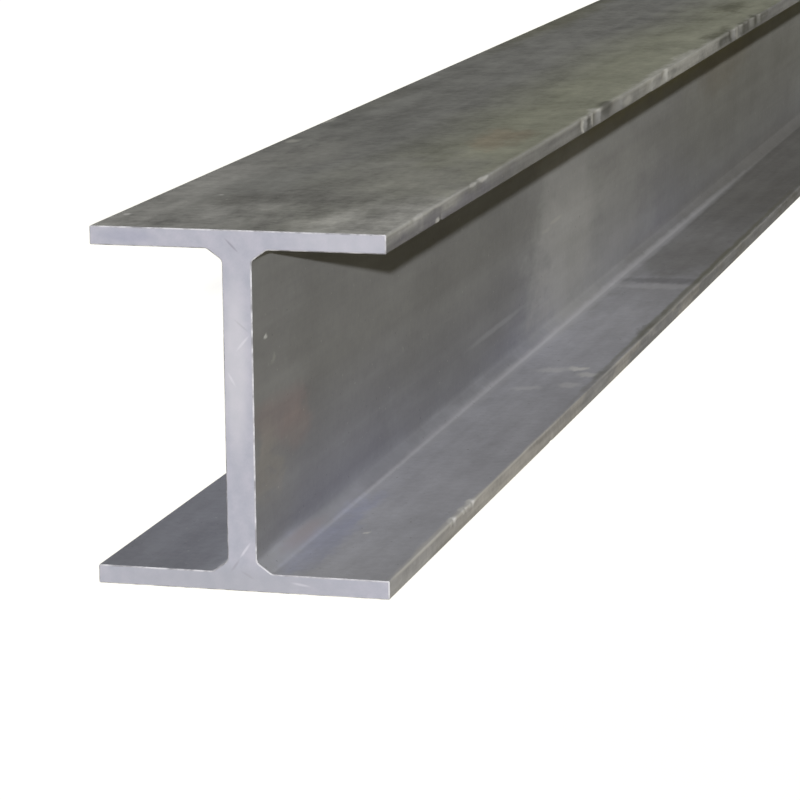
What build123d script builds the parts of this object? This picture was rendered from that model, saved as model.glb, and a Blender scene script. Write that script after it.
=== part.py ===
from build123d import *
import os

# An aluminium H-beam: two equal, parallel flanges joined by one central web, extruded in one piece.
# Its web is thicker than its flanges. Each of the four inside roots has a flat splay, longer along
# the flange than up the web, which runs into both faces over a small radius.
# Millimetres. The beam lies on its bottom flange with its length along Y, and the origin is in the
# middle of its underside.

# The cross-section
FLANGE_WIDTH = 100.0
DEPTH = 120.0
FLANGE_THICKNESS = 6.3
WEB_THICKNESS = 10.0

# The four roots, where the web meets a flange
ROOT_ALONG_FLANGE = 5.2
ROOT_UP_WEB = 3.7
ROOT_BLEND_RADIUS = 2.0

# The flanges' long outer edges, which the die leaves barely rounded
FLANGE_EDGE_RADIUS = 0.5

# One sold length, its two saw-cut ends deburred
LENGTH = 1500.0
END_DEBURR = 0.4


def right_corners():
    """The corners of the section's right side from the underside up, each with its radius."""
    edge = FLANGE_WIDTH / 2
    web_face = WEB_THICKNESS / 2
    splay_end = web_face + ROOT_ALONG_FLANGE
    top_of_lower = FLANGE_THICKNESS
    under_upper = DEPTH - FLANGE_THICKNESS
    return [
        ((edge, 0), FLANGE_EDGE_RADIUS),
        ((edge, top_of_lower), FLANGE_EDGE_RADIUS),
        ((splay_end, top_of_lower), ROOT_BLEND_RADIUS),
        ((web_face, top_of_lower + ROOT_UP_WEB), ROOT_BLEND_RADIUS),
        ((web_face, under_upper - ROOT_UP_WEB), ROOT_BLEND_RADIUS),
        ((splay_end, under_upper), ROOT_BLEND_RADIUS),
        ((edge, under_upper), FLANGE_EDGE_RADIUS),
        ((edge, DEPTH), FLANGE_EDGE_RADIUS),
    ]


def section():
    """The whole cross-section, upright in the XZ plane: the right side and its reflection."""
    right = right_corners()
    left = [((-across, up), radius) for (across, up), radius in reversed(right)]
    corners, radii = zip(*(right + left))
    with BuildSketch(Plane.XZ) as profile:
        with BuildLine():
            FilletPolyline(corners, radius=radii, close=True)
        make_face()
    return profile.sketch


def h_beam():
    """The section extruded both ways from mid-length, with the rim of each cut end taken off."""
    beam = extrude(section(), LENGTH / 2, both=True)
    cut_ends = beam.faces().filter_by(Plane.XZ)
    return chamfer(cut_ends.edges(), END_DEBURR)


os.makedirs("parts", exist_ok=True)
export_step(h_beam(), "parts/h_beam.step")
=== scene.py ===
import bisect
import math
import random
import bmesh
import bpy
from mathutils import Matrix, Vector


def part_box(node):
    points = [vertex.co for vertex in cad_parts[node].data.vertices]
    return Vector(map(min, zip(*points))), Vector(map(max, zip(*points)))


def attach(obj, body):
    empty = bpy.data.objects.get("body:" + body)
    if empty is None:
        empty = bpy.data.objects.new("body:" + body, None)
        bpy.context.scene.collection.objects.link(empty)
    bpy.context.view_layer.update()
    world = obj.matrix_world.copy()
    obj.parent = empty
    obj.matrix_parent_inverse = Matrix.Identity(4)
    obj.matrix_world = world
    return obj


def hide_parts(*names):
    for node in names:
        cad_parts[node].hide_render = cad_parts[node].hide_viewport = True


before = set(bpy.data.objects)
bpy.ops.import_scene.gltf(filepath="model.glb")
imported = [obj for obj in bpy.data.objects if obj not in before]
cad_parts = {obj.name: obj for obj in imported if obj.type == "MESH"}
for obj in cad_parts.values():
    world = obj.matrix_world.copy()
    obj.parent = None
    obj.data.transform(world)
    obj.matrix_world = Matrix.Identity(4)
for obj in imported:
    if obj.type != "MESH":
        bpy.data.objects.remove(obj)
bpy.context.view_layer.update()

# The H-beam
# One length of aluminium alloy, pushed hot through an H-shaped die, stretched straight, sawn off
# and deburred. Its flanges, web and roots are all one piece of metal, and nothing is fixed to it.
MM = 0.001
near_low, far_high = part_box("h_beam")
flange_reach = far_high.x
depth = far_high.z
mid_depth = depth / 2
near_end = near_low.y
length = far_high.y - near_end

flange_thickness = 6.3 * MM
web_face = 5.0 * MM
splay_along_flange = 5.2 * MM
splay_up_web = 3.7 * MM
splay_blend = 2.0 * MM
flange_edge_radius = 0.5 * MM
end_deburr = 0.4 * MM

SKIN, SAWN, FILED = range(3)


def everything(shape):
    """All the vertices, edges and faces of a bmesh."""
    return [*shape.verts, *shape.edges, *shape.faces]


# A quarter of the section, with its root and edges rounded, is mirrored into the whole.
beam = bmesh.new()
flange_inside = depth - flange_thickness
splay_end = web_face + splay_along_flange
splay_foot = flange_inside - splay_up_web
quarter_corners = [
    (0, mid_depth),
    (web_face, mid_depth),
    (web_face, splay_foot),
    (splay_end, flange_inside),
    (flange_reach, flange_inside),
    (flange_reach, depth),
    (0, depth),
]
quarter = [beam.verts.new((across, near_end, up)) for across, up in quarter_corners]
beam.faces.new(quarter)
splay_at_web, splay_at_flange, inner_edge, outer_edge = quarter[2:6]

splay_turn = math.atan2(splay_up_web, splay_along_flange)
web_blend_run = splay_blend * math.tan((math.pi / 2 - splay_turn) / 2)
flange_blend_run = splay_blend * math.tan(splay_turn / 2)
roundings = [
    (splay_at_web, web_blend_run, 4),
    (splay_at_flange, flange_blend_run, 4),
    (inner_edge, flange_edge_radius, 3),
    (outer_edge, flange_edge_radius, 3),
]
for corner, run, steps in roundings:
    bmesh.ops.bevel(beam, geom=[corner], offset=run, offset_type="OFFSET", segments=steps,
                    profile=0.5, affect="VERTICES", material=-1)

bmesh.ops.mirror(beam, geom=everything(beam), matrix=Matrix(), merge_dist=0, axis="X")
bmesh.ops.mirror(beam, geom=everything(beam), matrix=Matrix.Translation((0, 0, -mid_depth)),
                 merge_dist=0, axis="Z")
merge_gap = 0.01 * MM
bmesh.ops.remove_doubles(beam, verts=list(beam.verts), dist=merge_gap)
seams = [edge for edge in beam.edges if len(edge.link_faces) == 2]
bmesh.ops.dissolve_edges(beam, edges=seams, use_verts=True)

# The section is drawn out to its length, and both sawn ends are filed round their rims.
drawn_out = bmesh.ops.extrude_face_region(beam, geom=list(beam.faces))["geom"]
far_rim = [item for item in drawn_out if isinstance(item, bmesh.types.BMVert)]
bmesh.ops.translate(beam, verts=far_rim, vec=(0, length, 0))
bmesh.ops.recalc_face_normals(beam, faces=list(beam.faces))
for face in beam.faces:
    face.material_index = SAWN if abs(face.normal.y) > 0.5 else SKIN
end_rims = [edge for edge in beam.edges
            if {face.material_index for face in edge.link_faces} == {SKIN, SAWN}]
bmesh.ops.bevel(beam, geom=end_rims, offset=end_deburr, offset_type="OFFSET", segments=1,
                profile=0.5, affect="EDGES", material=FILED)

# Lengthwise loops beside the roots keep the flats flat. Beside the flanges' edges they let a knock
# fade out.
holding_gap = 1.5 * MM
knock_fade = 4.5 * MM
root_head = splay_end + flange_blend_run + holding_gap
root_foot = flange_thickness + splay_up_web + web_blend_run + holding_gap
loops = []
for up in (holding_gap, flange_thickness / 2, flange_thickness - holding_gap, root_foot):
    loops += [((0, 0, up), (0, 0, 1)), ((0, 0, depth - up), (0, 0, 1))]
for across in (root_head, flange_reach - knock_fade, flange_reach - holding_gap):
    loops += [((side * across, 0, 0), (1, 0, 0)) for side in (-1, 1)]
for place, facing in loops:
    bmesh.ops.bisect_plane(beam, geom=everything(beam), plane_co=place, plane_no=facing)

station_gap = 10.0 * MM
long_edges = [edge for edge in beam.edges if edge.calc_length() > length / 2]
bmesh.ops.subdivide_edges(beam, edges=long_edges, cuts=round(length / station_gap) - 1)

# Knocks that handling has left in the flanges' edges: how far from the near end, which side, at
# what height, how long, how wide and how deep, in millimetres. Those on the right lie where the
# real beam has them, and a few smaller ones are strewn over the left.
RIGHT, LEFT = 1, -1
knocks = [
    (34, RIGHT, 120, 9, 1.8, 0.3),
    (71, RIGHT, 114, 5, 1.8, 0.4),
    (117, RIGHT, 120, 10, 1.8, 0.3),
    (133, RIGHT, 120, 14, 2.0, 0.4),
    (301, RIGHT, 118, 20, 4.0, 0.8),
    (328, RIGHT, 118, 19, 4.5, 1.0),
    (366, RIGHT, 117, 34, 4.0, 0.8),
    (440, RIGHT, 116, 26, 3.5, 0.5),
    (479, RIGHT, 118, 18, 3.5, 0.8),
    (664, RIGHT, 119, 20, 4.5, 1.1),
    (688, RIGHT, 119, 18, 4.0, 1.0),
    (722, RIGHT, 119, 24, 4.5, 1.2),
    (746, RIGHT, 119, 18, 4.0, 1.0),
    (86, RIGHT, 6, 5, 1.8, 0.5),
    (103, RIGHT, 6, 4, 1.8, 0.35),
    (113, RIGHT, 6, 5, 1.8, 0.4),
    (242, RIGHT, 1, 8, 1.8, 0.3),
]
strewn_knocks = 14
dice = random.Random(7)
for _ in range(strewn_knocks):
    knocks.append((dice.uniform(60, 1450), LEFT, dice.choice([0, 6, 114]),
                   dice.uniform(6, 16), dice.uniform(1.8, 3.5), dice.uniform(0.2, 0.5)))


def wants_knocks(edge):
    """Whether a lengthwise edge lies where a knock needs closer stations."""
    ends = [vert.co.y for vert in edge.verts]
    if abs(ends[0] - ends[1]) < station_gap / 2:
        return False
    from_end = sum(ends) / 2 - near_end
    return any(abs(from_end - from_near_end * MM) < (long * MM + station_gap) / 2
               for from_near_end, _, _, long, _, _ in knocks)


extra_stations = 7
knocked_edges = [edge for edge in beam.edges if wants_knocks(edge)]
bmesh.ops.subdivide_edges(beam, edges=knocked_edges, cuts=extra_stations)

# Each knock pushes the metal in towards the middle of its flange's thickness, and is steepest at
# its far end. The curve of its depth would peak at 32 / 27, and is brought down to 1.
to_full_depth = 27 / 32
bare_metal = beam.verts.layers.float.new("bare_metal")
along_beam = sorted(beam.verts, key=lambda vert: vert.co.y)
places_along = [vert.co.y for vert in along_beam]
for from_near_end, side, height, long, wide, deep in knocks:
    middle = near_end + from_near_end * MM
    half_long = long * MM / 2
    strike = Vector((side * flange_reach, 0, height * MM))
    flange_centre = flange_thickness / 2 if strike.z < mid_depth else depth - flange_thickness / 2
    inward = Vector((-side, 0, (flange_centre - strike.z) / flange_thickness))
    first = bisect.bisect_left(places_along, middle - half_long)
    last = bisect.bisect_right(places_along, middle + half_long)
    for vert in along_beam[first:last]:
        past_middle = (vert.co.y - middle) / half_long
        off_strike = math.hypot(vert.co.x - strike.x, vert.co.z - strike.z) / (wide * MM)
        if off_strike < 1:
            fade = 1 - off_strike ** 2
            bite = to_full_depth * (1 + past_middle) ** 2 * (1 - past_middle) * fade
            vert.co += inward * (bite * deep * MM)
            vert[bare_metal] = max(vert[bare_metal], bite)

facet_limit = math.radians(35)
for edge in beam.edges:
    edge.smooth = edge.calc_face_angle(0) < facet_limit
for face in beam.faces:
    face.smooth = True

mesh = bpy.data.meshes.new("h_beam_extrusion")
beam.to_mesh(mesh)
beam.free()
extrusion = bpy.data.objects.new("h_beam_extrusion", mesh)
bpy.context.scene.collection.objects.link(extrusion)


def hex_colour(text):
    """An sRGB hex colour as linear red, green, blue and alpha."""
    channels = [int(text[start:start + 2], 16) / 255 for start in (1, 3, 5)]
    linear = [c / 12.92 if c <= 0.04045 else ((c + 0.055) / 1.055) ** 2.4 for c in channels]
    return (*linear, 1.0)


# The Mix node's sockets share names, so its colours go by number. A Factor of 0 shows the colour
# under, and 1 the colour over.
UNDER, OVER, MIXED = 6, 7, 2


def add_node(tree, kind, feeds, output=0, **settings):
    """Adds a node with its settings, sets or links the inputs in feeds, and returns an output."""
    node = tree.nodes.new("ShaderNode" + kind)
    for name, value in settings.items():
        setattr(node, name, value)
    for socket, source in feeds.items():
        if isinstance(source, bpy.types.NodeSocket):
            tree.links.new(source, node.inputs[socket])
        else:
            node.inputs[socket].default_value = source
    return node.outputs[output]


def paint_marks(tree, place, colour, marks):
    """Lays marks on a colour, each full over its inner third and soft outside that. A mark has a
    tint, a strength, a centre from the near end's foot, a reach and, if it is turned, a turn."""
    for tint, strength, centre, reach, *turn in marks:
        turn = turn[0] if turn else (0, 0, 0)
        local = add_node(tree, "Mapping", {
            "Vector": place,
            "Location": (centre[0] * MM, near_end + centre[1] * MM, centre[2] * MM),
            "Rotation": [math.radians(angle) for angle in turn],
            "Scale": [size * MM for size in reach],
        }, vector_type="TEXTURE")
        spot = add_node(tree, "TexGradient", {"Vector": local}, "Fac", gradient_type="SPHERICAL")
        share = add_node(tree, "MapRange", {"Value": spot, "From Max": 0.7, "To Max": strength},
                         interpolation_type="SMOOTHSTEP")
        colour = add_node(tree, "Mix", {"Factor": share, UNDER: colour, OVER: hex_colour(tint)},
                          MIXED, data_type="RGBA")
    return colour


def cells(*sizes):
    """The scale at which a pattern's cells are so many millimetres across, along and up."""
    return [1 / (size * MM) for size in sizes]


# Mill-finish extruded aluminium, as it comes from the die: dull grey, because a thin oxide skin
# scatters most of the light, with fine drawn lines, cloudy stains and brighter knocked edges.
skin = bpy.data.materials.new("mill_finish_extruded_aluminium")
skin.use_nodes = True
tree = skin.node_tree
shader = tree.nodes["Principled BSDF"]
shader.inputs["Metallic"].default_value = 0.05
shader.inputs["Specular IOR Level"].default_value = 0.0

place = add_node(tree, "TexCoord", {}, "Object")
across = add_node(tree, "SeparateXYZ", {0: place}, "X")
along = add_node(tree, "SeparateXYZ", {0: place}, "Y")
height = add_node(tree, "SeparateXYZ", {0: place}, "Z")

# The skin's own patterns: clouds of oxide 15 by 48 mm, slow drifts of 95 mm and a 3.5 mm grain, and
# the long bands and lines of the die. The lines stand 1 mm apart, coarser than real ones, to show.
clouds_place = add_node(tree, "Mapping", {"Vector": place, "Scale": cells(15, 48, 15)})
clouds = add_node(tree, "TexNoise", {"Vector": clouds_place, "Scale": 1.0, "Detail": 6.0,
                                     "Roughness": 0.6})
drifts = add_node(tree, "TexNoise", {"Vector": place, "Scale": 1 / (95 * MM), "Detail": 3.0})
mottle = add_node(tree, "Math", {0: drifts, 1: 0.5, 2: clouds}, operation="MULTIPLY_ADD")
grain = add_node(tree, "TexNoise", {"Vector": place, "Scale": 1 / (3.5 * MM), "Detail": 3.0,
                                    "Roughness": 0.7})
bands_place = add_node(tree, "Mapping", {"Vector": place, "Scale": cells(9, 700, 9)})
bands = add_node(tree, "TexNoise", {"Vector": bands_place, "Scale": 1.0, "Detail": 2.0})
lines_place = add_node(tree, "Mapping", {"Vector": place, "Scale": cells(1, 260, 1)})
die_lines = add_node(tree, "TexNoise", {"Vector": lines_place, "Scale": 1.0, "Detail": 1.0})

# The web is an even grey, cooler towards the foot, and paler on the splay below it.
splay_top = flange_thickness + splay_up_web
footward = add_node(tree, "MapRange", {"Value": height, "From Min": mid_depth,
                                       "From Max": splay_top + 2 * MM})
colour = add_node(tree, "Mix", {"Factor": footward, UNDER: hex_colour("#9B9B9B"),
                                OVER: hex_colour("#9D9EA9")}, MIXED, data_type="RGBA")
splayed = add_node(tree, "MapRange", {"Value": height, "From Min": splay_top + 6 * MM,
                                      "From Max": flange_thickness + 1.2 * MM})
colour = add_node(tree, "Mix", {"Factor": splayed, UNDER: colour, OVER: hex_colour("#A9AAB3")},
                  MIXED, data_type="RGBA")

# The top is cool grey on the left and olive on the right.
olive_side = add_node(tree, "Math", {0: drifts, 1: 30 * MM, 2: across}, operation="MULTIPLY_ADD")
olive_share = add_node(tree, "MapRange", {"Value": olive_side, "From Min": 5 * MM,
                                          "From Max": 40 * MM})
top_grey = add_node(tree, "Mix", {"Factor": olive_share, UNDER: hex_colour("#9A9B99"),
                                  OVER: hex_colour("#A9AB9C")}, MIXED, data_type="RGBA")
on_top = add_node(tree, "MapRange", {"Value": height, "From Min": depth - 0.6 * MM,
                                     "From Max": depth - 0.3 * MM})
colour = add_node(tree, "Mix", {"Factor": on_top, UNDER: colour, OVER: top_grey}, MIXED,
                  data_type="RGBA")

# The bottom flange is slate grey on the left, and much paler on the right, where the paleness is
# painted light.
on_right = add_node(tree, "MapRange", {"Value": across, "From Min": -2 * MM, "From Max": 2 * MM})
low_grey = add_node(tree, "Mix", {"Factor": on_right, UNDER: hex_colour("#9FA1AC"),
                                  OVER: hex_colour("#D0D1DA")}, MIXED, data_type="RGBA")
low_down = add_node(tree, "MapRange", {"Value": height, "From Min": flange_thickness + 0.9 * MM,
                                       "From Max": flange_thickness + 0.2 * MM})
colour = add_node(tree, "Mix", {"Factor": low_down, UNDER: colour, OVER: low_grey}, MIXED,
                  data_type="RGBA")

# The flanges' sides are grey above, and brownish below, and paler there as painted light.
side_grey = add_node(tree, "Mix", {"Factor": low_down, UNDER: hex_colour("#A1A1A1"),
                                   OVER: hex_colour("#D1CECC")}, MIXED, data_type="RGBA")
off_middle = add_node(tree, "Math", {0: across}, operation="ABSOLUTE")
on_side = add_node(tree, "MapRange", {"Value": off_middle, "From Min": flange_reach - 0.5 * MM,
                                      "From Max": flange_reach - 0.2 * MM})
colour = add_node(tree, "Mix", {"Factor": on_side, UNDER: colour, OVER: side_grey}, MIXED,
                  data_type="RGBA")

# Stains, with painted light and shade among them. Their edges wander up to several centimetres
# along the beam, and are ragged besides, as the scratches' are.
ragged_place = add_node(tree, "Mapping", {"Vector": place, "Scale": cells(4, 16, 4)})
ragged = add_node(tree, "TexNoise", {"Vector": ragged_place, "Scale": 1.0, "Detail": 4.0}, "Color")
ragged = add_node(tree, "VectorMath", {0: ragged, 1: (0.5, 0.5, 0.5)}, operation="SUBTRACT")
scratch_place = add_node(tree, "VectorMath", {0: ragged, 1: (3 * MM, 14 * MM, 1.2 * MM), 2: place},
                         operation="MULTIPLY_ADD")
wander = add_node(tree, "TexNoise", {"Vector": clouds_place, "Scale": 1.0, "Detail": 4.0,
                                     "Roughness": 0.6}, "Color")
wander = add_node(tree, "VectorMath", {0: wander, 1: (0.5, 0.5, 0.5)}, operation="SUBTRACT")
stain_place = add_node(tree, "VectorMath", {0: wander, 1: (24 * MM, 120 * MM, 12 * MM),
                                            2: scratch_place}, operation="MULTIPLY_ADD")
stains_and_painted_light = [
    # The top flange near its end, paler there and along its sides, with dark smudges between
    ("#C0C0BE", 0.6, (0, -30, 120), (140, 140, 14)),
    ("#D6D6D4", 0.8, (46, 0, 120), (34, 140, 6)),
    ("#BEBEBC", 0.6, (-48, 110, 120), (28, 120, 14)),
    ("#7C7C78", 0.45, (-14, 62, 120), (24, 40, 14)),
    ("#80807B", 0.3, (12, 84, 120), (24, 36, 14)),
    ("#C0C0BC", 0.4, (-28, 182, 120), (18, 50, 14)),
    ("#A4A4A3", 0.6, (22, 110, 120), (44, 110, 14)),
    # Its right side, bluish near the end
    ("#9A99A1", 0.9, (51, 88, 115), (5, 125, 7)),
    # Further along the top: an earthy spot, two dark ones and an olive one
    ("#B09A86", 0.35, (32, 238, 120), (14, 44, 14)),
    ("#5C5C4E", 0.6, (48, 640, 121), (8, 50, 8)),
    ("#5C5C4E", 0.5, (30, 785, 121), (14, 50, 14)),
    ("#83836C", 0.5, (-48, 700, 120), (16, 200, 14)),
    # Its right side further along, pale and then dark, the dark being painted shade on the knocks'
    # walls there
    ("#D2D2CE", 0.65, (50, 520, 116), (6, 160, 14)),
    ("#6E6E66", 0.6, (50, 735, 118), (6, 50, 14)),
    # The web near its end, tinged pink and sandy
    ("#B89C9A", 0.5, (5, 24, 53), (14, 44, 12)),
    ("#B49E98", 0.35, (5, 50, 46), (14, 36, 10)),
    ("#BDB3A6", 0.5, (5, 8, 41), (12, 20, 18)),
    # The web further along: rubbed pale, earthy, an olive tint above that is painted shade where
    # the top flange's shadow falls, and duller far off
    ("#C4C4C4", 0.7, (5, 478, 34), (16, 100, 66)),
    ("#B4B4B2", 0.5, (5, 570, 34), (16, 160, 66)),
    ("#857A64", 0.5, (5, 910, 76), (14, 120, 20)),
    # Painted shade: olive on the web under the top flange, where its shadow lies
    ("#ABA684", 0.8, (5, 860, 97), (14, 780, 20)),
    ("#8C8C86", 0.7, (5, 1050, 40), (30, 500, 80)),
    # The web's near third, paler at the end and duller before the rubbed part
    ("#A8A8AA", 0.5, (5, 0, 50), (14, 70, 90)),
    ("#90908F", 0.5, (5, 280, 40), (16, 170, 60)),
    # The bottom flange: pale and blue near the end, and much darker far off
    ("#BFC0C8", 0.4, (18, 290, 6), (18, 170, 9)),
    ("#AAB2E0", 0.45, (15, 50, 6), (10, 64, 9)),
    ("#DDE0EA", 0.4, (30, 10, 6), (60, 130, 9)),
    ("#8C8B89", 0.95, (32, 1060, 4), (90, 720, 18)),
    ("#8E8D8B", 0.5, (30, 650, 6), (44, 80, 12)),
    # Its right side, duller with distance
    ("#9C9C9F", 0.85, (52, 640, 3), (5, 480, 14)),
    ("#A6A6AA", 0.75, (52, 400, 3), (6, 220, 16)),
    # The top's left edge
    ("#83837C", 0.35, (-50, 345, 120), (16, 70, 12)),
]
colour = paint_marks(tree, stain_place, colour, stains_and_painted_light)

# Mottling, strongest near the end of the top, where hands, straps and weather have marked it, and
# the bands and lines of the die. The flanges' sides have drag marks besides, and the top has smears
# wiped across it.
nearness = add_node(tree, "MapRange", {"Value": along, "From Min": near_end + 20 * MM,
                                       "From Max": near_end + 200 * MM, "To Min": 1.15,
                                       "To Max": 0.65})
contrast = add_node(tree, "Math", {0: low_down, 1: 0.2, 2: 0.32}, operation="MULTIPLY_ADD")
contrast = add_node(tree, "Math", {0: on_top, 1: nearness, 2: contrast}, operation="MULTIPLY_ADD")
contrast = add_node(tree, "Math", {0: on_side, 1: 0.25, 2: contrast}, operation="MULTIPLY_ADD")
texture = add_node(tree, "Math", {0: grain, 1: 0.5, 2: mottle}, operation="MULTIPLY_ADD")
swing = add_node(tree, "Math", {0: texture, 1: 1.0}, operation="SUBTRACT")
drawn = add_node(tree, "Math", {0: die_lines, 1: 0.15, 2: bands}, operation="MULTIPLY_ADD")
drawn = add_node(tree, "Math", {0: drawn, 1: 0.3, 2: 0.83}, operation="MULTIPLY_ADD")
tone = add_node(tree, "Math", {0: swing, 1: contrast, 2: drawn}, operation="MULTIPLY_ADD")
drags_place = add_node(tree, "Mapping", {"Vector": place, "Scale": cells(2.2, 45, 2.2)})
drags = add_node(tree, "TexNoise", {"Vector": drags_place, "Scale": 1.0, "Detail": 4.0})
dragged = add_node(tree, "MapRange", {"Value": drags, "From Min": 0.35, "From Max": 0.65,
                                      "To Min": -0.12, "To Max": 0.12})
tone = add_node(tree, "Math", {0: dragged, 1: on_side, 2: tone}, operation="MULTIPLY_ADD")
wipes_place = add_node(tree, "Mapping", {"Vector": place, "Scale": cells(24, 15, 24)})
wipes = add_node(tree, "TexNoise", {"Vector": wipes_place, "Scale": 1.0, "Detail": 5.0,
                                    "Roughness": 0.65})
wiped = add_node(tree, "MapRange", {"Value": wipes, "From Min": 0.35, "From Max": 0.65,
                                    "To Min": -0.1, "To Max": 0.1})
smeared = add_node(tree, "Math", {0: nearness, 1: on_top}, operation="MULTIPLY")
tone = add_node(tree, "Math", {0: wiped, 1: smeared, 2: tone}, operation="MULTIPLY_ADD")
colour = add_node(tree, "Mix", {"Factor": 1.0, UNDER: colour, OVER: tone}, MIXED,
                  data_type="RGBA", blend_type="MULTIPLY")

# Scratches, rubbed lines and bright specks, with painted highlights and shade among them, laid out
# as the stains are.
scratches_and_painted_light = [
    # Specks on the top flange's left
    ("#F2F2F2", 0.7, (-46.0, 24, 120), (1.8, 2.8, 2)),
    ("#F2F2F2", 0.5, (-28.8, 73, 120), (1.5, 2.6, 2)),
    ("#D8D8D2", 0.6, (-45.0, 215, 120), (3.4, 8.0, 2)),
    ("#D8D8D2", 0.5, (-48.5, 278, 120), (2.0, 12.0, 2)),
    # The top flange's right edge, worn bright, with knocked spots near the end
    ("#E8E8E6", 0.6, (50, 40, 119.7), (1.4, 110, 1.0)),
    ("#D4D4CE", 0.55, (50, 420, 119.9), (2.6, 480, 2.0)),
    ("#FFFFFF", 0.6, (50, 117, 119.6), (1.8, 6, 1.3)),
    ("#FFFFFF", 0.8, (50, 133, 119.6), (2.0, 9, 1.4)),
    ("#F0F0F0", 0.6, (50, 43, 119.5), (2.0, 5, 1.4)),
    ("#FFFFFF", 0.8, (50, 67, 114.4), (2.0, 5, 1.6)),
    # Bare metal and grime in the knocks further along, with painted highlights and shade on their
    # walls
    ("#F0F0EC", 0.8, (50, 303, 116.5), (3, 4.5, 4.5), (-18, 0, 0)),
    ("#F0F0EC", 0.8, (50, 322, 117.5), (3, 4.5, 4), (-18, 0, 0)),
    ("#E4E4E0", 0.6, (48.5, 331, 120), (4, 8, 2)),
    ("#5A5A54", 0.6, (50, 314, 117), (3, 5, 4)),
    ("#5A5A54", 0.6, (49, 352, 119), (5, 16, 5)),
    ("#E4E4E0", 0.5, (50, 395, 116.5), (3, 14, 3)),
    ("#E4E4E0", 0.5, (49, 446, 119), (5, 12, 2)),
    ("#E4E4E0", 0.5, (49, 484, 118.5), (4, 9, 3)),
    ("#66665E", 0.6, (50, 662, 117.5), (3, 8, 5)),
    ("#66665E", 0.6, (50, 698, 117.5), (4, 12, 5)),
    ("#66665E", 0.6, (50, 742, 118.5), (4, 20, 4)),
    ("#D8D8D2", 0.5, (50, 680, 117.5), (3, 8, 5)),
    # Nicks and long scratches on the web
    ("#F2F2F2", 0.8, (5, 14, 83.0), (2, 2.4, 1.2)),
    ("#C0C0BC", 0.45, (5, 22.5, 74.0), (2, 3.4, 2.4)),
    ("#CCCCC8", 0.6, (5, 457, 54.0), (2, 20, 1.4)),
    ("#C8C8C4", 0.5, (5, 436, 52.0), (2, 15, 1.3)),
    ("#BCBCC2", 0.4, (5, 340, 26.0), (2, 70, 1.8)),
    # The bottom flange: a speck, a patch of scuffs, and a pale and a dark line across
    ("#FFFFFF", 0.8, (25.5, 61.5, 6.3), (1.4, 2.6, 2)),
    ("#F2F2F6", 0.5, (27, 352, 6.3), (11, 7, 2), (0, 0, 20)),
    ("#FFFFFF", 0.8, (37, 357, 6.3), (6, 6, 2), (0, 0, -30)),
    ("#FFFFFF", 0.5, (43, 345, 6.3), (7, 6, 2), (0, 0, 30)),
    ("#F2F2F6", 0.5, (40, 322, 6.3), (7, 8, 2)),
    ("#F2F2F6", 0.4, (24, 312, 6.3), (9, 6, 2), (0, 0, 25)),
    ("#E8E8EC", 0.3, (32, 562, 6.3), (34, 10, 2), (0, 0, 3)),
    ("#76767A", 0.4, (32, 579, 6.3), (36, 11, 2), (0, 0, 3)),
    # The splay at the web's foot, with a painted highlight along its lower edge
    ("#E0E0E6", 0.42, (10.4, 640, 6.9), (3.8, 430, 2.6)),
    ("#DCDCE2", 0.3, (10.6, 340, 6.7), (3.4, 300, 2.4)),
    ("#C8CAD2", 0.5, (8, -10, 8.6), (7, 150, 3.4)),
    ("#B5A3A6", 0.35, (8, 46, 8.6), (7, 34, 2.6)),
    # The bottom flange's right edge, worn bright, with a dark line inside it and knocked spots
    ("#E6E3DE", 0.5, (50, 90, 6.1), (1.4, 260, 1.0)),
    ("#F4F2EE", 0.5, (49.5, 70, 6.2), (2.4, 90, 1.6)),
    ("#8C8B78", 0.6, (48, 600, 6.3), (2.4, 400, 1.6)),
    ("#C9C7C1", 0.4, (49.5, 540, 6.0), (1.2, 420, 0.9)),
    ("#FFFFFF", 0.9, (49.4, 85, 6.2), (2.6, 6, 2.2)),
    ("#FFFFFF", 0.9, (49.4, 102, 6.2), (2.6, 5, 2.2)),
    ("#FFFFFF", 0.9, (49.4, 113, 6.2), (2.6, 6, 2.2)),
]
colour = paint_marks(tree, scratch_place, colour, scratches_and_painted_light)

# Grit and pits: sparse specks a millimetre across, some dark, and some bright, which are painted
# glints.
grit = add_node(tree, "TexNoise", {"Vector": place, "Scale": 1 / (1.8 * MM), "Detail": 1.0})
pits = add_node(tree, "MapRange", {"Value": grit, "From Min": 0.25, "From Max": 0.18,
                                   "To Max": 0.4})
colour = add_node(tree, "Mix", {"Factor": pits, UNDER: colour, OVER: hex_colour("#4C4C48")},
                  MIXED, data_type="RGBA")
glints = add_node(tree, "MapRange", {"Value": grit, "From Min": 0.76, "From Max": 0.82,
                                     "To Max": 0.3})
colour = add_node(tree, "Mix", {"Factor": glints, UNDER: colour, OVER: hex_colour("#E8E8E4")},
                  MIXED, data_type="RGBA")

# Metal laid bare by a knock is paler. The skin is a little smoother where it is pale, and its
# relief is a few hundredths of a millimetre deep.
knocked = add_node(tree, "Attribute", {}, "Fac", attribute_name="bare_metal")
bare = add_node(tree, "MapRange", {"Value": knocked, "From Min": 0.1, "From Max": 1.0,
                                   "To Max": 0.3})
colour = add_node(tree, "Mix", {"Factor": bare, UNDER: colour, OVER: hex_colour("#D2D2CE")},
                  MIXED, data_type="RGBA")
tree.links.new(colour, shader.inputs["Base Color"])
roughness = add_node(tree, "MapRange", {"Value": mottle, "From Min": 0.5, "From Max": 1.0,
                                        "To Min": 0.68, "To Max": 0.52})
tree.links.new(roughness, shader.inputs["Roughness"])
relief = add_node(tree, "Math", {0: die_lines, 1: 0.4, 2: clouds}, operation="MULTIPLY_ADD")
bump = add_node(tree, "Bump", {"Height": relief, "Strength": 0.5, "Distance": 0.03 * MM})
tree.links.new(bump, shader.inputs["Normal"])
mesh.materials.append(skin)
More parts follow.
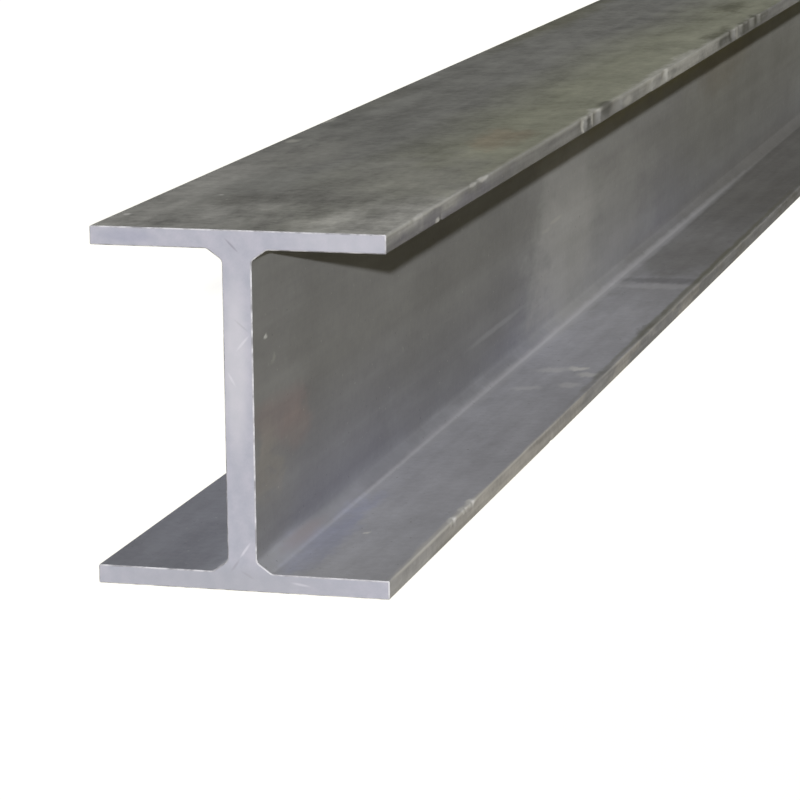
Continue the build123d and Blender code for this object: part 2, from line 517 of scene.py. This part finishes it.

# Saw-cut aluminium: pale fresh metal with soft smudges, a few scuffs and the faint arcs of a large
# blade, and a painted lilac cast that stands for the cool light on the end. The arcs stand 6 mm
# apart, coarser than real ones, to show.
sawn = bpy.data.materials.new("saw_cut_aluminium")
sawn.use_nodes = True
tree = sawn.node_tree
shader = tree.nodes["Principled BSDF"]
shader.inputs["Metallic"].default_value = 0.08
shader.inputs["Specular IOR Level"].default_value = 0.0
shader.inputs["Roughness"].default_value = 0.5
place = add_node(tree, "TexCoord", {}, "Object")
smudges = add_node(tree, "TexNoise", {"Vector": place, "Scale": 1 / (7 * MM), "Detail": 6.0,
                                      "Roughness": 0.75})
from_blade_centre = (210 * MM, 0, 30 * MM)
blade_place = add_node(tree, "Mapping", {"Vector": place, "Location": from_blade_centre})
arcs = add_node(tree, "TexWave", {"Vector": blade_place, "Scale": 1 / (20 * MM),
                                  "Distortion": 1.5, "Detail": 2.0}, "Fac",
                wave_type="RINGS", rings_direction="Y")
tone = add_node(tree, "Math", {0: arcs, 1: 0.08, 2: smudges}, operation="MULTIPLY_ADD")
tone = add_node(tree, "MapRange", {"Value": tone, "From Min": 0.36, "From Max": 0.7})
colour = add_node(tree, "Mix", {"Factor": tone, UNDER: hex_colour("#9EA0AC"),
                                OVER: hex_colour("#ABAAB6")}, MIXED, data_type="RGBA")
scuffs = [
    # Dark nicks, soft tints and pale nicks
    ("#7C7B84", 0.5, (-1.6, 0, 115.0), (0.5, 5, 4.0), (0, -45, 0)),
    ("#7C7B84", 0.4, (1.0, 0, 89.0), (0.5, 5, 3.6), (0, -50, 0)),
    ("#8A8990", 0.4, (-2.4, 0, 8.5), (0.6, 5, 3.4), (0, 35, 0)),
    ("#8A8990", 0.4, (2.0, 0, 5.5), (0.6, 5, 3.0), (0, -60, 0)),
    ("#8C8EA2", 0.35, (-37, 0, 117), (13, 5, 2.8)),
    ("#BFBEC6", 0.3, (36, 0, 117), (24, 5, 7)),
    ("#C8C6CC", 0.45, (-1, 0, 76), (6, 5, 40)),
    ("#9B9CA4", 0.5, (-8, 0, 3), (60, 5, 7)),
    ("#D2D0D8", 0.4, (1.6, 0, 83), (0.6, 5, 4.2), (0, 40, 0)),
    ("#D2D0D8", 0.35, (-2.4, 0, 71), (0.6, 5, 3.4), (0, -30, 0)),
    ("#D0CED8", 0.5, (1.2, 0, 14), (0.6, 5, 4.0), (0, 35, 0)),
    ("#CCCAD4", 0.4, (20, 0, 3.4), (4.0, 5, 0.6), (0, 8, 0)),
]
colour = paint_marks(tree, place, colour, scuffs)
tree.links.new(colour, shader.inputs["Base Color"])
bump = add_node(tree, "Bump", {"Height": arcs, "Strength": 0.4, "Distance": 0.02 * MM})
tree.links.new(bump, shader.inputs["Normal"])
mesh.materials.append(sawn)

# Filed aluminium: the narrow rim round each sawn end, brightest where the file bit deepest.
filed = bpy.data.materials.new("filed_aluminium")
filed.use_nodes = True
tree = filed.node_tree
shader = tree.nodes["Principled BSDF"]
shader.inputs["Metallic"].default_value = 0.08
shader.inputs["Specular IOR Level"].default_value = 0.0
shader.inputs["Roughness"].default_value = 0.4
place = add_node(tree, "TexCoord", {}, "Object")
bites = add_node(tree, "TexNoise", {"Vector": place, "Scale": 1 / (4 * MM), "Detail": 3.0})
bright = add_node(tree, "MapRange", {"Value": bites, "From Min": 0.35, "From Max": 0.6})
colour = add_node(tree, "Mix", {"Factor": bright, UNDER: hex_colour("#9E9EA4"),
                                OVER: hex_colour("#D6D6DC")}, MIXED, data_type="RGBA")
tree.links.new(colour, shader.inputs["Base Color"])
mesh.materials.append(filed)

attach(extrusion, "root")
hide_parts("h_beam")

# The floor
# A plain pale board that the beam lies on. It is lit to white, and keeps the beam's soft shadow.
floor_reach = 20.0
sheet = bmesh.new()
bmesh.ops.create_grid(sheet, x_segments=1, y_segments=1, size=floor_reach)
floor_mesh = bpy.data.meshes.new("floor")
sheet.to_mesh(floor_mesh)
sheet.free()
floor = bpy.data.objects.new("floor", floor_mesh)
bpy.context.scene.collection.objects.link(floor)


def direct_view(tree):
    """1 for camera, glossy and transmission rays, and 0 for the diffuse rays that light things."""
    camera_ray = add_node(tree, "LightPath", {}, "Is Camera Ray")
    glossy_ray = add_node(tree, "LightPath", {}, "Is Glossy Ray")
    clear_ray = add_node(tree, "LightPath", {}, "Is Transmission Ray")
    seen = add_node(tree, "Math", {0: camera_ray, 1: glossy_ray}, operation="MAXIMUM")
    return add_node(tree, "Math", {0: seen, 1: clear_ray}, operation="MAXIMUM")


# Matt cream board: it throws warm light up under the flanges. Its glow, which only the camera and
# mirror-like metal see, lifts it to white where no shadow falls.
board = bpy.data.materials.new("matt_cream_board")
board.use_nodes = True
tree = board.node_tree
tree.nodes.clear()
matt = add_node(tree, "BsdfDiffuse", {"Color": hex_colour("#B8B190")})
glow_to_white = 0.93
seen = direct_view(tree)
glow_strength = add_node(tree, "Math", {0: seen, 1: glow_to_white}, operation="MULTIPLY")
glow = add_node(tree, "Emission", {"Color": hex_colour("#FFFFFF"), "Strength": glow_strength})
lit = add_node(tree, "AddShader", {0: matt, 1: glow})
surface = tree.nodes.new("ShaderNodeOutputMaterial")
tree.links.new(lit, surface.inputs["Surface"])
floor_mesh.materials.append(board)

# The studio
# A key light close beside the camera, a weaker one from behind, and dim warm light all round.
# The camera and mirror-like metal see white surroundings.
world = bpy.data.worlds.new("studio")
bpy.context.scene.world = world
world.use_nodes = True
tree = world.node_tree
background = tree.nodes["Background"]
dim_light = 0.035
seen = direct_view(tree)
surround = add_node(tree, "Mix", {"Factor": seen, UNDER: hex_colour("#FFE27A"),
                                  OVER: hex_colour("#FFFFFF")}, MIXED, data_type="RGBA")
tree.links.new(surround, background.inputs["Color"])
brightness = add_node(tree, "Math", {0: seen, 1: 1 - dim_light, 2: dim_light},
                      operation="MULTIPLY_ADD")
tree.links.new(brightness, background.inputs["Strength"])


def add_lamp(name, towards, strength, width):
    """A distant lamp in that direction, so many degrees wide. 1 shows a colour as it is written."""
    data = bpy.data.lights.new(name, "SUN")
    data.energy = strength * math.pi
    data.angle = math.radians(width)
    lamp = bpy.data.objects.new(name, data)
    lamp.rotation_euler = (-Vector(towards)).to_track_quat("-Z", "Y").to_euler()
    bpy.context.scene.collection.objects.link(lamp)


add_lamp("key_beside_camera", (0.247, -0.948, 0.2025), 1.2, 0.8)
add_lamp("fill_from_behind", (-0.6, 0.79, 0.06), 0.9, 25)

# The camera
# A long lens a metre in front of the near end, to its right and a little above it, fitted to the
# photograph's edges.
camera_data = bpy.data.cameras.new("camera")
camera_data.lens = 153.1
camera_data.sensor_width = 36.0
camera_data.clip_end = 100
camera = bpy.data.objects.new("camera", camera_data)
bpy.context.scene.collection.objects.link(camera)
camera_place = Vector((0.3314, near_end - 1.0304, 0.2904))
looking = Vector((-0.2543, 0.9451, -0.2052))
roll = math.radians(-0.56)
aim = looking.to_track_quat("-Z", "Y").to_matrix() @ Matrix.Rotation(roll, 3, "Z")
camera.matrix_world = Matrix.Translation(camera_place) @ aim.to_4x4()
bpy.context.scene.camera = camera
bpy.context.scene.view_settings.view_transform = "Standard"
